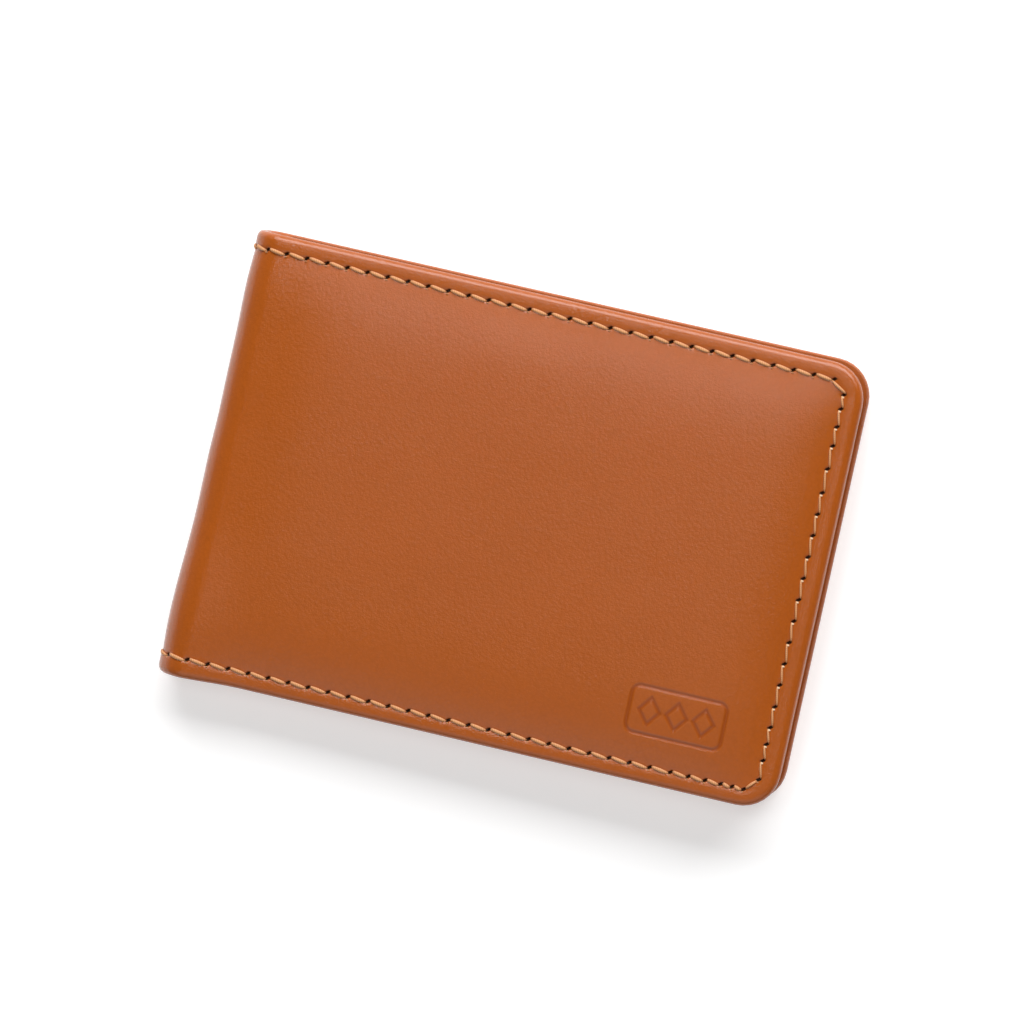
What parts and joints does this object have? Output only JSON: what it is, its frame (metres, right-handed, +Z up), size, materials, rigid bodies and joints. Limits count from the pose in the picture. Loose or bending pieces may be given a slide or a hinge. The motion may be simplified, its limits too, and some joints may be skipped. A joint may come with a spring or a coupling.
{
  "type": "bifold wallet",
  "caption": "Slim bifold wallet: two padded, perimeter-stitched leather covers over a lined bill compartment and stepped card pockets, joined by a soft round fold that opens flat.",
  "frame": {"origin": "middle of the bounding box's base, where the closed wallet's back cover lies", "axes": "+X from the fold to the free edge, +Y along the fold towards the mouths of the bill compartment and card pockets, +Z up from the back cover to the front cover"},
  "size_m": [0.114, 0.0816, 0.016],
  "materials": {
    "cover_leather": "smooth tan leather, fine grain, satin",
    "inner_leather": "smooth tan leather, thin, satin",
    "bill_lining": "woven lining cloth, brown",
    "stiffener": "bonded board",
    "padding": "foam sheet",
    "thread": "gold-tan waxed thread"
  },
  "bodies": {
    "back_half": {"back_cover_leather": "cover_leather", "back_cover_padding": "padding", "back_cover_stiffener": "stiffener", "back_bill_lining": "bill_lining", "back_gutter_strip": "inner_leather", "back_inner_panel": "inner_leather", "back_card_pocket_upper": "inner_leather", "back_card_pocket_middle": "inner_leather", "back_card_pocket_lower": "inner_leather", "back_edge_thread": "thread", "back_pocket_thread": "thread"},
    "fold_lower": {"fold_leather_back": "cover_leather", "fold_lining_back": "bill_lining", "fold_gutter_back": "inner_leather"},
    "fold_upper": {"fold_leather_front": "cover_leather", "fold_lining_front": "bill_lining", "fold_gutter_front": "inner_leather"},
    "front_half": {"front_cover_leather": "cover_leather", "front_cover_padding": "padding", "front_cover_stiffener": "stiffener", "front_bill_lining": "bill_lining", "front_gutter_strip": "inner_leather", "front_inner_panel": "inner_leather", "front_card_pocket_upper": "inner_leather", "front_card_pocket_middle": "inner_leather", "front_card_pocket_lower": "inner_leather", "front_edge_thread": "thread", "front_pocket_thread": "thread"}
  },
  "joints": [
    {"name": "fold_open", "type": "hinge", "parent": "back_half", "child": "fold_lower", "pos_m": [-0.05423, 0, 0.00229], "axis": [0, -1, 0], "range_deg": [0, 59.33]},
    {"name": "fold_middle", "type": "hinge", "parent": "fold_lower", "child": "fold_upper", "pos_m": [-0.0565, 0, 0.00612], "axis": [0, -1, 0], "range_deg": [0, 59.33]},
    {"name": "fold_front", "type": "hinge", "parent": "fold_upper", "child": "front_half", "pos_m": [-0.05436, 0, 0.01003], "axis": [0, -1, 0], "range_deg": [0, 59.33]}
  ],
  "couplings": [
    {"joint": "fold_middle", "follows": "fold_open", "ratio": 1},
    {"joint": "fold_front", "follows": "fold_open", "ratio": 1}
  ]
}
